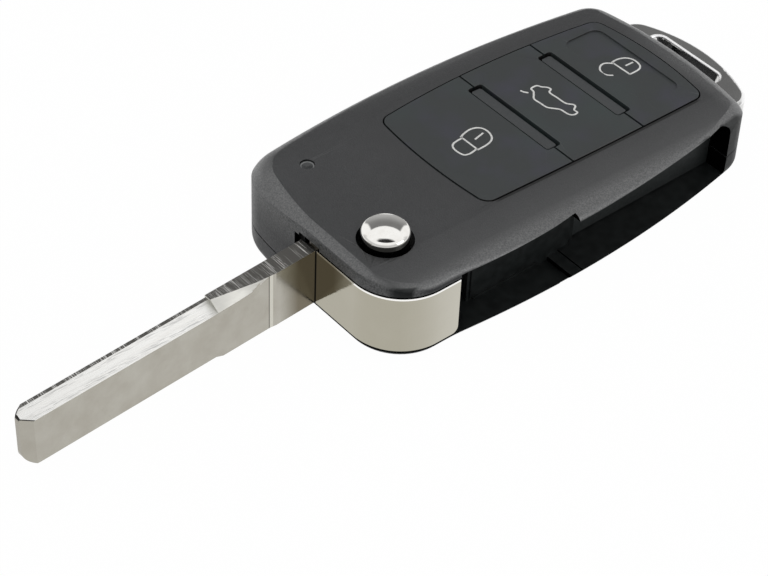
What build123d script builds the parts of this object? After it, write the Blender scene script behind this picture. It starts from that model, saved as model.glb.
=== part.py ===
from build123d import *
import os
from math import atan, cos, degrees, radians, sin, sqrt

os.makedirs("parts", exist_ok=True)

# Frame: millimetres, +Z up through the button face, +X from blade end to ring end.
# The origin is the blade's turning axis on the base plane, and -Y is the blade slot side.

# Body plan
front_x = -6.84
side_y = -9.98
side_flat_x = 4.6
near_mid = (26.0, -11.1)
near_rear = (60.9, -7.4)
rear_mid = (62.8, 8.6)
far_rear = (60.6, 25.2)
far_mid = (27.0, 27.5)
far_front = (-5.2, 24.6)
front_mid = (-6.45, 17.6)
front_flat_y = 9.0
head_corner_r = 7.8
near_rear_r = 5.0
far_rear_r = 5.0
far_front_r = 8.0
side_blend_r = 30.0

# Body height and crown
top_z = 13.47
top_slope = 0.030
plateau_near_y = -3.4
plateau_far_y = 21.2
crown_r = 34.0
crown_tilt = 3.0
crown_turn = 50.0
top_edge_r = 1.1
base_edge_r = 2.2
soft_edge_r = 4.5
soft_lift = 0.15
soft_margin = 0.08
room_edge_r = 2.0
lining_edge_r = 2.4
soft_near = 2.2
soft_near_rear = 0.5
soft_front = 1.9
soft_front_mid = 0.9
wall = 1.4
skin = 1.3
parting_z = 4.5
seam_gap = 0.2
form_length = 200.0
form_height = 40.0
least_edge = 0.001
upright = 0.01
overcut = 1.0

# Blade slot and head chamber
floor_z = 1.2
ceiling_z = 11.3
rear_ceiling_z = 10.95
front_lip_z = 11.75
lip_step_x = 24.6
lip_depth = 3.2
chamber_r = 11.25
chamber_wall = 1.1
slot_back_y = -5.85
slot_wall = 1.0
slot_end_x = 56.3
slot_end_r = 2.6
panel_x1 = 29.4
panel_lean = 1.2
seam_x = 26.4
pry_x0 = 22.2
pry_x1 = 24.4
pry_depth = 0.7
root_relief = 0.5
slit_from_edge = 0.45
slit_width = 0.3
slit_depth = 0.6
foot_ledge = 0.25

# Blade
blade_yaw = 3.3
blade_near_y = 6.17
blade_thick = 2.86
root_z0 = 1.9
root_z1 = 11.06
narrow_z0 = 2.38
narrow_z1 = 10.64
groove_z = 9.76
root_start_x = -6.5
tip_x = -53.4
top_step_x = -22.9
base_step_x = -22.2
step_run = 1.2
runout_x0 = -13.8
runout_x1 = -16.2
runout_rise = 0.33
runout_mid = 1.75
groove_rim = 0.55
face_step_x = -13.3
face_step_run = 0.95
face_step = 0.14
tip_base_r = 2.0
tip_top_r = 0.9
tip_near_cut = (1.7, 1.15)
tip_far_cut = (1.55, 0.9)
tang_end_x = -1.3
tang_z0 = 3.4
tang_z1 = 9.4

# Head
head_z0 = 1.8
head_z1 = 11.0
head_end_x = 4.58
head_end_y = 5.80
head_web_z = 3.0
hub_r = 6.6
hub_bore_r = 4.9
cheek_x0 = -4.9
cheek_x1 = 0.6
cheek_far_y = 9.9
cheek_near_y = 5.0
head_edge_r = 0.35
head_foot_r = 1.0
lug_slot_z = 7.0
pin_x = -3.4
pin_z = 6.4
pin_r = 0.9
pin_in_y = 5.15

# Pivot post, spring seat and screws
post_r = 3.0
running_gap = 0.06
post_top_z = 3.6
post_foot_z = 0.6
seat_r = 4.4
seat_thick = 0.7
screw_r = 0.9
screw_head_r = 1.9
screw_head_h = 1.0
drive_r = 0.9
drive_depth = 0.6

# Release button and spring
cap_r = 3.3
cap_rim_z = 15.1
cap_dome_z = 15.9
cap_edge_r = 0.7
hole_r = 3.87
flange_r = 4.5
flange_z0 = 9.0
flange_z1 = 10.0
collar_r = 4.84
collar_z = 10.2
lug_r = 5.6
lug_width = 2.0
lug_gap = 0.15
button_bore_r = 2.4
button_bore_z = 13.2
spring_wire_r = 0.3
spring_mean_r = 3.85
spring_turns = 4.0

# Keypad, measured in a frame that lies on the sloping plateau
pad_near_y = -2.55
pad_near_bow = -2.75
pad_far_y = 19.9
pad_far_bow = 21.25
pad_front_x = 15.35
pad_front_bow = 14.55
pad_rear_x = 56.35
pad_rear_bow = 57.6
pad_corner_r = 2.0
pad_gap = 0.22
cap_rise = 0.08
cap_thick = 2.2
cap_lip_thick = 0.6
cap_lip_width = 0.55
bar_x = (31.0, 44.3)
bar_width = 1.75
bar_y0 = 1.65
bar_y1 = 17.5
bar_pocket = 0.45
bar_drop = 0.25
cap_seam = 0.3
field_x0 = 48.2
field_x1 = 55.2
field_y0 = 0.8
field_y1 = 18.3
field_r = 1.6
field_depth = 0.22
mat_top = 2.85
mat_thick = 0.75
mat_lip = 0.9
pip_x = (22.9, 37.6, 51.0)
pip_y = 9.2
pip_r = 2.2
pill_r = 1.6
pill_h = 0.5

# Lens
lens_x = 1.32
lens_y = 18.0
lens_r = 1.0
lens_drop = 0.25
lens_dish = 0.2
lens_length = 2.6

# Key ring loop
loop_z0 = 4.55
loop_z1 = 7.75
loop_outer_x = 68.25
loop_shoulder_x = 65.0
loop_y0 = -3.6
loop_y1 = 20.4
loop_slot_x0 = 61.3
loop_slot_x1 = 65.8
loop_slot_y0 = 2.2
loop_slot_y1 = 15.6
loop_slot_r = 1.5
loop_inner_x = 57.4
loop_arm = 4.2
loop_corner_r = 3.4
loop_edge_r = 0.7
loop_rim_r = 0.4
loop_post_r = 0.9
loop_post_x = 59.0
loop_gap = 0.1
ring_wall = 1.5
loop_post_y = (loop_y0 + loop_arm / 2, loop_y1 - loop_arm / 2)

# Electronics tray and cell bay
tray_z0 = 4.75
tray_z1 = 5.55
tray_front_x = 14.2
tray_rear_x = 57.0
tray_gap = 0.15
cell_x = 43.0
cell_y = 9.8
cell_bay_r = 10.25
cell_wall = 0.9
cell_floor_gap = 0.35
cover_floor = 1.2
tray_boss_r = 1.6
tray_boss_xy = ((22.0, 23.95), (47.0, 23.35))
tray_screw_r = 0.7
tray_screw_head_r = 1.2
tray_screw_length = 4.2
chip_x0 = 15.6
chip_x1 = 28.2
chip_y0 = 19.0
chip_y1 = 22.0
chip_wall = 0.8
chip_height = 2.0
tray_wall_y = -4.85

# Cell clip
clip_thick = 0.3
clip_width = 4.0
clip_x = 31.4
clip_foot = 5.0
clip_arm = 3.6

# Front case screw
case_xy = (7.2, 20.2)
case_boss_r = 2.3
case_screw_r = 0.8
case_head_r = 1.7
case_head_h = 1.0
case_head_z = 0.2
case_screw_top = 8.6
case_boss_z = 1.9

# Joining tongue
tongue_thick = 0.6
tongue_rise = 1.0
tongue_gap = 0.05

slope_angle = degrees(atan(top_slope))
plateau = Plane((0, 0, top_z), x_dir=(cos(radians(slope_angle)), 0, -sin(radians(slope_angle))),
                z_dir=(sin(radians(slope_angle)), 0, cos(radians(slope_angle))))


def round_corner(face, point, radius):
    """Round the corner of a flat face that lies nearest to a point."""
    corner = face.vertices().sort_by_distance(Vector(point[0], point[1], 0))[0]
    return fillet(corner, radius)


def bar_block(x0, x1, y0, y1, z0, z1):
    """Upright block between two corners."""
    middle = ((x0 + x1) / 2, (y0 + y1) / 2, (z0 + z1) / 2)
    return Pos(*middle) * Box(x1 - x0, y1 - y0, z1 - z0)


def post(x, y, radius, z0, z1):
    """Upright cylinder from one height to another."""
    return Pos(x, y, (z0 + z1) / 2) * Cylinder(radius, z1 - z0)


def shifted(face, distance):
    """Grow or shrink a flat outline of lines and arcs, redrawn as true lines and arcs."""
    edges = []
    for edge in [e for e in offset(face, distance).edges() if e.length > least_edge]:
        if edge.geom_type == GeomType.LINE:
            edges.append(Line(edge @ 0, edge @ 1))
        else:
            edges.append(ThreePointArc(edge @ 0, edge @ 0.5, edge @ 1))
    return make_face(edges)


def body_plan(inset, spread=0):
    """Outline of the body seen from above; spread 1 widens its near and front sides."""
    x0 = front_x - spread * soft_front
    y0 = side_y - spread * soft_near
    near_bow = (near_mid[0], near_mid[1] - spread * soft_near)
    near_end = (near_rear[0], near_rear[1] - spread * soft_near_rear)
    front_bow = (front_mid[0] - spread * soft_front_mid, front_mid[1])
    face = make_face([
        Line((x0, y0), (side_flat_x, y0)),
        ThreePointArc((side_flat_x, y0), near_bow, near_end),
        ThreePointArc(near_end, rear_mid, far_rear),
        ThreePointArc(far_rear, far_mid, far_front),
        ThreePointArc(far_front, front_bow, (x0, front_flat_y)),
        Line((x0, front_flat_y), (x0, y0)),
    ])
    face = round_corner(face, (x0, y0), head_corner_r)
    face = round_corner(face, (side_flat_x, y0), side_blend_r)
    face = round_corner(face, (x0, front_flat_y), side_blend_r)
    face = round_corner(face, near_end, near_rear_r)
    face = round_corner(face, far_rear, far_rear_r)
    face = round_corner(face, far_front, far_front_r)
    if inset:
        face = shifted(face, -inset)
    return face


def crown_point(turn):
    """Sideways and downward run of the crown arc after a turn in degrees."""
    run = crown_r * (sin(radians(crown_tilt + turn)) - sin(radians(crown_tilt)))
    fall = crown_r * (cos(radians(crown_tilt)) - cos(radians(crown_tilt + turn)))
    return run, fall


def crown_block(drop):
    """Everything below the crowned, sloping top face."""
    run, fall = crown_point(crown_turn)
    half_run, half_fall = crown_point(crown_turn / 2)
    near_y = plateau_near_y
    far_y = plateau_far_y
    profile = make_face([
        Line((near_y, 0), (far_y, 0)),
        ThreePointArc((far_y, 0), (far_y + half_run, -half_fall), (far_y + run, -fall)),
        Polyline((far_y + run, -fall), (far_y + run, -form_height), (near_y - run, -form_height),
                 (near_y - run, -fall)),
        ThreePointArc((near_y - run, -fall), (near_y - half_run, -half_fall), (near_y, 0)),
    ])
    section = Plane(plateau.origin, x_dir=(0, 1, 0), z_dir=plateau.x_dir)
    return Pos(0, 0, -drop) * extrude(section * profile, form_length, both=True)


def on_plateau(face, low, high):
    """Raise a face of the plateau frame between two heights over the plateau."""
    return extrude(plateau * Pos(0, 0, low) * face, high - low)


def round_rim(solid, radius):
    """Round the edges where the upright faces of a block meet its roof."""
    rim = []
    for face in [f for f in solid.faces() if abs(f.normal_at().Z) < upright]:
        for edge in face.edges():
            if min(v.Z for v in edge.vertices()) > parting_z:
                rim.append(edge)
    return fillet(ShapeList(rim), radius)


def body_form():
    """Whole outer form: crowned block with soft shoulders and a rounded foot."""
    body = round_rim(extrude(body_plan(0), form_height) & crown_block(0), top_edge_r)
    feet = [e for e in body.edges() if max(v.Z for v in e.vertices()) < seam_gap]
    body = fillet(ShapeList(feet), base_edge_r)
    slab = on_plateau(Rectangle(form_length, form_length), -form_height, soft_lift)
    shoulder = extrude(shifted(body_plan(0, 1), soft_margin), form_height) & slab
    return body & round_rim(shoulder, soft_edge_r)


form = body_form()


def chamber_zone(grow, z0, z1):
    """Round space that the head turns in."""
    return post(0, 0, chamber_r + grow, z0, z1)


def slot_zone(z0, z1, back_y):
    """Open side slot that takes the folded blade."""
    block = bar_block(0, slot_end_x, back_y - form_height, back_y, z0, z1)
    ends = block.edges().filter_by(Axis.Y).sort_by(Axis.X)[-2:]
    return fillet(ends.sort_by(Axis.Z)[-1], slot_end_r)


def inner_plan(inset):
    """Plan of the electronics room, clear of the chamber and the slot."""
    plan = body_plan(inset)
    plan -= Circle(chamber_r + chamber_wall)
    plan -= Pos(slot_end_x / 2, slot_back_y + slot_wall - form_height / 2) * Rectangle(
        slot_end_x + 2 * slot_wall, form_height)
    return max(plan.faces(), key=lambda f: f.area)


def bow_disc(start, middle, end, grow):
    """Disc whose rim runs through three points, grown in radius."""
    arc = ThreePointArc(start, middle, end)
    return Pos(arc.arc_center.X, arc.arc_center.Y) * Circle(arc.radius + grow)


def pad_plan(grow):
    """Outline of the whole key field in the plateau frame, four bowed sides and round corners."""
    near_front = (pad_front_x, pad_near_y)
    near_back = (pad_rear_x, pad_near_y)
    far_back = (pad_rear_x, pad_far_y)
    far_start = (pad_front_x, pad_far_y)
    middle_x = (pad_front_x + pad_rear_x) / 2
    middle_y = (pad_near_y + pad_far_y) / 2
    face = bow_disc(near_front, (middle_x, pad_near_bow), near_back, grow)
    face &= bow_disc(near_back, (pad_rear_bow, middle_y), far_back, grow)
    face &= bow_disc(far_back, (middle_x, pad_far_bow), far_start, grow)
    face &= bow_disc(far_start, (pad_front_bow, middle_y), near_front, grow)
    return fillet(face.vertices(), pad_corner_r + grow)


def bar_plan(x, width, grow):
    """Outline of one divider bar."""
    length = bar_y1 - bar_y0 + 2 * grow
    shape = RectangleRounded(width + 2 * grow, length, (width + 2 * grow) / 5)
    return Pos(x, (bar_y0 + bar_y1) / 2) * shape


def keypad_mat():
    """Silicone mat with three press pips, contact pills and two divider bars."""
    sheet = on_plateau(pad_plan(mat_lip), -mat_top - mat_thick, -mat_top)
    for x in bar_x:
        sheet += on_plateau(bar_plan(x, bar_width, 0), -mat_top - mat_thick / 2, -bar_drop)
    for x in pip_x:
        sheet += on_plateau(Pos(x, pip_y) * Circle(pip_r), -mat_top - mat_thick / 2, cap_rise - cap_thick)
        sheet += on_plateau(Pos(x, pip_y) * Circle(pill_r), -mat_top - mat_thick - pill_h, -mat_top)
    return sheet


def key_cap(x0, x1):
    """One key cap between two seams, with its retaining lip below the shell."""
    zone = Pos((x0 + x1) / 2, pip_y) * Rectangle(x1 - x0 - cap_seam, form_height)
    face = pad_plan(-pad_gap) & zone
    cap = on_plateau(face, cap_rise - cap_thick, cap_rise)
    lip_face = pad_plan(cap_lip_width) & zone
    cap += on_plateau(lip_face, cap_rise - cap_thick, cap_rise - cap_thick + cap_lip_thick)
    for x in bar_x:
        cap -= on_plateau(bar_plan(x, bar_width, bar_pocket), -form_height / 4, form_height / 4)
    return cap


def lock_button():
    """Front key."""
    return key_cap(pad_front_x - 2 * mat_lip - cap_seam, bar_x[0])


def boot_button():
    """Middle key."""
    return key_cap(bar_x[0], bar_x[1])


def unlock_button():
    """Rear key with its shallow sunk field."""
    cap = key_cap(bar_x[1], pad_rear_bow + 2 * mat_lip + cap_seam)
    field = Pos((field_x0 + field_x1) / 2, (field_y0 + field_y1) / 2) * RectangleRounded(
        field_x1 - field_x0, field_y1 - field_y0, field_r)
    cap -= on_plateau(field, cap_rise - field_depth, cap_rise + wall)
    return cap


def led_lens():
    """Clear light pipe with a dished end."""
    end_z = top_z - lens_x * top_slope - lens_drop
    rod = post(lens_x, lens_y, lens_r, end_z - lens_length, end_z)
    ball_r = (lens_r ** 2 + lens_dish ** 2) / (2 * lens_dish)
    rod -= Pos(lens_x, lens_y, end_z + ball_r - lens_dish) * Sphere(ball_r)
    return rod


def key_loop():
    """Metal loop for the key ring, with its slot, two arms and post holes."""
    middle_y = (loop_y0 + loop_y1) / 2
    face = make_face([
        Line((loop_inner_x, loop_y0), (loop_shoulder_x, loop_y0)),
        ThreePointArc((loop_shoulder_x, loop_y0), (loop_outer_x, middle_y), (loop_shoulder_x, loop_y1)),
        Line((loop_shoulder_x, loop_y1), (loop_inner_x, loop_y1)),
        Line((loop_inner_x, loop_y1), (loop_inner_x, loop_y0)),
    ])
    for y in (loop_y0, loop_y1):
        face = round_corner(face, (loop_shoulder_x, y), loop_corner_r)
    body = extrude(Pos(0, 0, loop_z0) * face, loop_z1 - loop_z0)
    rims = [e for e in body.edges() if e.center().X > loop_inner_x + loop_gap
            and abs(e.center().Z - (loop_z0 + loop_z1) / 2) > loop_gap]
    body = fillet(ShapeList(rims), loop_edge_r)
    slot_y = (loop_slot_y0 + loop_slot_y1) / 2
    slot = Pos((loop_slot_x0 + loop_slot_x1) / 2, slot_y) * RectangleRounded(
        loop_slot_x1 - loop_slot_x0, loop_slot_y1 - loop_slot_y0, loop_slot_r)
    arm_gap = loop_y1 - loop_y0 - 2 * loop_arm
    mouth = Pos(loop_inner_x, middle_y) * Rectangle(2 * (loop_slot_x0 - loop_inner_x), arm_gap)
    body -= extrude(slot + mouth, form_height)
    far_rim = [e for e in body.edges() if abs(e.center().X - loop_slot_x1) < loop_gap
               and e.center().Z > loop_z1 - loop_gap]
    body = fillet(ShapeList(far_rim), loop_rim_r)
    for y in loop_post_y:
        body -= post(loop_post_x, y, loop_post_r + loop_gap, loop_z0 - overcut, loop_z1 + overcut)
    return body


def ring_notch():
    """Space behind the loop where the shells are cut back for the ring."""
    return bar_block(loop_slot_x0 - loop_gap, form_length, loop_slot_y0 - loop_gap,
                     loop_slot_y1 + loop_gap, -wall, form_height)


def ring_wall_block(z0, z1):
    """Wall that closes the ring slot towards the inside of the body."""
    x1 = loop_slot_x0 - loop_gap
    y0 = loop_y0 + loop_arm + loop_gap
    y1 = loop_y1 - loop_arm - loop_gap
    return bar_block(x1 - ring_wall, x1, y0, y1, z0, z1)


def upper_shell():
    """Top shell with crowned skin, key opening, button hole and bosses."""
    shell = form & bar_block(-form_length, form_length, -form_length, form_length, parting_z, form_height)
    room = extrude(inner_plan(wall), form_height)
    room &= round_rim(extrude(body_plan(wall), form_height) & crown_block(skin), room_edge_r)
    shell -= room
    shell -= chamber_zone(chamber_wall, -overcut, ceiling_z)
    shell -= slot_zone(-overcut, rear_ceiling_z, slot_back_y + slot_wall)
    shell -= bar_block(-chamber_r, lip_step_x, -form_height, slot_back_y + slot_wall, -overcut, ceiling_z)
    shell -= bar_block(side_flat_x, lip_step_x, -form_height, side_y + lip_depth, -overcut, front_lip_z)
    shell -= on_plateau(pad_plan(0), -form_height / 2, form_height / 2)
    shell += post(0, 0, collar_r, collar_z, ceiling_z + skin / 2)
    shell -= post(0, 0, hole_r, collar_z - overcut, form_height)
    shell -= post(lens_x, lens_y, lens_r + running_gap, ceiling_z - overcut, form_height)
    shell -= blade_frame(bar_block(-chamber_r, cheek_x0 + wall, blade_near_y - wall / 2,
                                   blade_near_y + blade_thick + wall / 2, 0, ceiling_z + root_relief))
    roof = crown_block(skin / 2)
    shell += (post(*case_xy, case_boss_r, case_boss_z + wall, form_height) & roof)
    shell -= post(*case_xy, case_screw_r, 0, case_screw_top + seam_gap)
    for x, y in tray_boss_xy:
        boss = post(x, y, tray_boss_r, tray_z1, form_height) & extrude(body_plan(wall / 2), form_height)
        shell += boss & roof
        shell -= post(x, y, tray_screw_r, 0, tray_z0 + tray_screw_length)
    lining = round_rim(extrude(body_plan(wall / 2), form_height) & roof, lining_edge_r)
    window = bar_block(loop_inner_x, form_length, loop_y0 - loop_gap, loop_y1 + loop_gap,
                       0, loop_z1 + loop_gap)
    shell -= window
    for y in loop_post_y:
        shell += post(loop_post_x, y, loop_post_r, loop_z0 + loop_gap, form_height) & lining
    shell += ring_wall_block(parting_z, form_height) & lining
    shell -= ring_notch()
    return max(shell.solids(), key=lambda s: s.volume)


def lower_form(x0, x1):
    """Part of the body below the parting line between two cross planes."""
    return form & bar_block(x0, x1, -form_length, form_length, -overcut, parting_z - seam_gap)


def tongue(x0, x1):
    """Thin ring that locates a lower shell inside the upper one."""
    outer = inner_plan(wall + tongue_gap)
    inner = shifted(outer, -tongue_thick)
    ring = extrude(Pos(0, 0, cover_floor / 2) * (outer - inner), parting_z + tongue_rise - cover_floor / 2)
    region = bar_block(x0, x1, slot_back_y + slot_wall + wall, form_length, 0, form_height)
    return ring & region


def lower_shell():
    """Front lower shell with head chamber, pivot post and slot panel."""
    rear = seam_x - seam_gap / 2
    shell = lower_form(-form_length, rear)
    shell -= extrude(Pos(0, 0, cover_floor) * inner_plan(wall), form_height)
    opening = Pos(head_end_x + form_length / 2, slot_back_y - form_height / 2) * Rectangle(
        form_length, form_height)
    opening += Circle(chamber_r)
    shell -= extrude(Pos(0, 0, floor_z) * opening, form_height)
    cup = (Circle(chamber_r + chamber_wall) & body_plan(wall / 2)) - opening
    shell += extrude(Pos(0, 0, floor_z / 2) * cup, ceiling_z - floor_z / 2)
    edge_x = sqrt(chamber_r ** 2 - slot_back_y ** 2)
    back = slot_back_y + slot_wall
    panel = bar_block(edge_x + chamber_wall / 2, rear, slot_back_y, back, floor_z / 2, ceiling_z)
    panel += bar_block(rear - wall, panel_x1, slot_back_y, back, floor_z + seam_gap, ceiling_z)
    shell += panel & crown_block(skin)
    shell += bar_block(edge_x + chamber_wall, pry_x0, slot_back_y - foot_ledge, back, floor_z / 2,
                       floor_z + foot_ledge)
    slit_x = edge_x + slit_from_edge
    shell -= bar_block(slit_x, slit_x + slit_width, slot_back_y - wall, slot_back_y + slit_depth,
                       floor_z, form_height)
    shell -= bar_block(pry_x0, pry_x1, -form_height, slot_back_y, floor_z - pry_depth, form_height)
    shell -= bar_block(panel_x1 - panel_lean, form_length, slot_back_y - wall, slot_back_y + slot_wall / 2,
                       floor_z, form_height)
    flank = bar_block(-form_length, 0, 0, form_length, parting_z - seam_gap, form_height)
    shell -= flank & extrude(body_plan(0) - body_plan(wall + tongue_gap), form_height)
    shell += tongue(-form_length, rear - wall)
    shell += post(0, 0, post_r, floor_z / 2, post_top_z)
    shell -= post(0, 0, screw_r, post_foot_z, form_height)
    shell += post(*case_xy, case_boss_r, cover_floor / 2, case_boss_z + wall - seam_gap / 2)
    shell -= post(*case_xy, case_screw_r, -wall, form_height / 2)
    shell -= post(*case_xy, case_head_r, -wall, case_head_z)
    shell -= Pos(*case_xy, case_head_z + case_head_h / 2) * Cone(case_head_r, case_screw_r, case_head_h)
    return max(shell.solids(), key=lambda s: s.volume)


def battery_cover():
    """Rear lower cover over the cell bay."""
    front = seam_x + seam_gap / 2
    cover = lower_form(front, form_length)
    room = inner_plan(wall)
    cover -= extrude(Pos(0, 0, cover_floor) * room, form_height)
    cover -= slot_zone(floor_z, form_height, slot_back_y + slot_wall)
    cover += tongue(panel_x1 + tray_gap, tray_rear_x - wall)
    cover -= bar_block(loop_inner_x - loop_gap, form_length, loop_y0 - loop_gap, loop_y1 + loop_gap,
                       loop_z0 - loop_gap - seam_gap, form_height)
    cover += ring_wall_block(cover_floor / 2, parting_z - seam_gap)
    cover -= ring_notch()
    return max(cover.solids(), key=lambda s: s.volume)


def tray_plan():
    """Plan of the tray plate inside the shells."""
    plan = inner_plan(wall + tongue_gap + tongue_thick + tray_gap)
    span = Pos((tray_front_x + tray_rear_x) / 2, 0) * Rectangle(tray_rear_x - tray_front_x, form_length)
    return plan & span


def electronics_tray():
    """Carrier for circuit and cell, with chip pocket, cell ring and slot wall."""
    tray = extrude(Pos(0, 0, tray_z0) * tray_plan(), tray_z1 - tray_z0)
    ring_low = cover_floor + cell_floor_gap
    tray += post(cell_x, cell_y, cell_bay_r + cell_wall, ring_low, tray_z1)
    tray -= post(cell_x, cell_y, cell_bay_r, -overcut, form_height)
    screen = bar_block(panel_x1 + seam_gap, slot_end_x - tray_gap, tray_wall_y, tray_wall_y + slot_wall,
                       floor_z + seam_gap, form_height) & crown_block(skin + tray_gap)
    screen += bar_block(panel_x1 + seam_gap, slot_end_x - tray_gap, tray_wall_y,
                        tray_wall_y + 3 * slot_wall, tray_z0, tray_z1)
    tray += screen
    pocket = bar_block(chip_x0, chip_x1, chip_y0, chip_y1, tray_z1 - chip_wall / 2, tray_z1 + chip_height)
    pocket -= bar_block(chip_x0 + chip_wall, chip_x1 - chip_wall, chip_y0 + chip_wall,
                        chip_y1 - chip_wall, 0, form_height)
    tray += pocket
    for x, y in tray_boss_xy:
        tray += post(x, y, tray_boss_r, tray_z0 - wall / 2, tray_z1) & extrude(tray_plan(), form_height)
        tray -= post(x, y, tray_screw_r, 0, form_height)
    tray -= bar_block(clip_x - clip_thick, clip_x + cell_wall * 2, cell_y - clip_width / 2 - tray_gap,
                      cell_y + clip_width / 2 + tray_gap, 0, form_height)
    return max(tray.solids(), key=lambda s: s.volume)


def cell_clip():
    """Spring strip that grips the rim of the cell."""
    x0 = clip_x + clip_thick
    top = tray_z1 + clip_thick / 2
    line = Polyline((clip_x - clip_foot, top), (x0, top), (x0, tray_z0),
                    (x0 + clip_thick, floor_z + clip_thick), (x0 + clip_arm, floor_z + clip_thick))
    strip = offset(line, clip_thick / 2, side=Side.BOTH, closed=True)
    face = make_face(strip.edges())
    return Pos(0, cell_y + clip_width / 2, 0) * extrude(Plane.XZ * face, clip_width)


def blade_frame(shape):
    """Turn a shape drawn along the blade into the body frame."""
    return Rot(0, 0, blade_yaw) * shape


def blade():
    """Blank key blade with stepped root, milled edge and tang."""
    near = blade_near_y
    far = blade_near_y + blade_thick
    outline = make_face(Polyline(
        (tang_end_x, tang_z0), (root_start_x, tang_z0), (root_start_x, root_z0),
        (base_step_x, root_z0), (base_step_x - step_run, narrow_z0), (tip_x, narrow_z0),
        (tip_x, narrow_z1), (top_step_x, narrow_z1), (top_step_x, root_z1),
        (root_start_x, root_z1), (root_start_x, tang_z1), (tang_end_x, tang_z1), close=True))
    outline = fillet(outline.vertices().sort_by_distance((tip_x, narrow_z0, 0))[0], tip_base_r)
    outline = fillet(outline.vertices().sort_by_distance((tip_x, narrow_z1, 0))[0], tip_top_r)
    body = extrude(Plane.XZ.offset(-far) * outline, blade_thick)
    sections = (
        (runout_x0, root_z1 - running_gap, near + running_gap, root_z1),
        (runout_x1, groove_z, near + runout_rise, root_z1),
        (top_step_x, groove_z, near + runout_mid, root_z1),
    )
    faces = []
    for x, z0, y1, z1 in sections:
        faces.append(make_face(Polyline(
            (x, near - wall, z0), (x, near, z0), (x, y1, z1), (x, y1, z1 + wall),
            (x, near - wall, z1 + wall), close=True)))
    body -= loft(faces, ruled=True)
    rim_y = far - groove_rim
    slope = make_face(Polyline(
        (tip_x - wall, near - wall, groove_z), (tip_x - wall, near, groove_z),
        (tip_x - wall, rim_y, narrow_z1), (tip_x - wall, rim_y, root_z1 + wall),
        (tip_x - wall, near - wall, root_z1 + wall), close=True))
    body -= extrude(slope, top_step_x - tip_x + wall, dir=(1, 0, 0))
    recess = make_face(Polyline(
        (face_step_x, near), (face_step_x - face_step_run, near + face_step),
        (tip_x - wall, near + face_step), (tip_x - wall, near - wall), (face_step_x, near - wall),
        close=True))
    body -= extrude(recess, form_height)
    for y, cut in ((near, tip_near_cut), (far, tip_far_cut)):
        inward = 1 if y == near else -1
        corner = make_face(Polyline(
            (tip_x - wall, y - inward * wall), (tip_x + cut[0] * (1 + wall / cut[1]), y - inward * wall),
            (tip_x - cut[0] * wall / cut[1], y + inward * (cut[1] + wall)), close=True))
        body -= extrude(corner, form_height)
    body -= pin_shape()
    return blade_frame(body)


def pin_shape():
    """Roll pin through tang and head, drawn in the blade's own frame."""
    length = cheek_far_y - pin_in_y
    return Pos(pin_x, pin_in_y + length / 2, pin_z) * Rot(90, 0, 0) * Cylinder(pin_r, length)


def blade_pin():
    """Steel roll pin with its hollow core."""
    length = cheek_far_y - pin_in_y
    hollow = Pos(pin_x, pin_in_y + length / 2, pin_z) * Rot(90, 0, 0) * Cylinder(pin_r / 2, length)
    return blade_frame(pin_shape() - hollow)


def blade_head():
    """Die-cast head that closes the body corner and carries the blade."""
    plan = make_face(Polyline(
        (front_x, head_end_y), (front_x, side_y), (head_end_x, side_y), (head_end_x, -hub_bore_r),
        (0, 0), (-hub_bore_r / 2, head_end_y), close=True))
    plan = round_corner(plan, (front_x, side_y), head_corner_r)
    head = extrude(Pos(0, 0, head_z0) * plan, head_z1 - head_z0)
    foot = head.edges().filter_by(Axis.Y).sort_by_distance(Vector(head_end_x, side_y, head_z0))[0]
    head = fillet(foot, head_foot_r)
    head += post(0, 0, hub_r, head_z0, head_z1)
    head += blade_frame(bar_block(cheek_x0, cheek_x1, cheek_near_y, cheek_far_y, head_z0, head_z1))
    tang = bar_block(-form_height, tang_end_x, blade_near_y, blade_near_y + blade_thick, tang_z0, tang_z1)
    head -= blade_frame(tang)
    head -= blade_frame(bar_block(-form_height, root_start_x, blade_near_y, cheek_far_y + overcut,
                                  0, form_height))
    head -= post(0, 0, hub_bore_r, head_web_z, form_height)
    head -= post(0, 0, post_r + running_gap, 0, form_height)
    lug_cut = bar_block(-lug_r - lug_gap, lug_r + lug_gap, -lug_width / 2 - lug_gap,
                        lug_width / 2 + lug_gap, lug_slot_z, form_height)
    head -= lug_cut
    head -= blade_frame(pin_shape())
    return max(head.solids(), key=lambda s: s.volume)


def release_button():
    """Domed hollow button with flange and two guide lugs."""
    dome_rise = cap_dome_z - cap_rim_z
    ball_r = (cap_r ** 2 + dome_rise ** 2) / (2 * dome_rise)
    half_z = cap_dome_z - ball_r + sqrt(ball_r ** 2 - (cap_r / 2) ** 2)
    profile = make_face([
        Polyline((0, cap_dome_z), (0, button_bore_z), (button_bore_r, button_bore_z),
                 (button_bore_r, flange_z0), (flange_r, flange_z0), (flange_r, flange_z1),
                 (cap_r, flange_z1), (cap_r, cap_rim_z)),
        ThreePointArc((cap_r, cap_rim_z), (cap_r / 2, half_z), (0, cap_dome_z)),
    ])
    profile = round_corner(profile, (cap_r, cap_rim_z), cap_edge_r)
    button = revolve(Plane.XZ * profile, Axis.Z)
    lugs = bar_block(-lug_r, lug_r, -lug_width / 2, lug_width / 2, flange_z0, flange_z1)
    return button + (lugs - post(0, 0, button_bore_r + head_edge_r, 0, form_height))


def spring_seat():
    """Flat retainer on the post that the spring stands on."""
    seat = post(0, 0, seat_r, post_top_z, post_top_z + seat_thick)
    return seat - post(0, 0, screw_r, 0, form_height)


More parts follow.
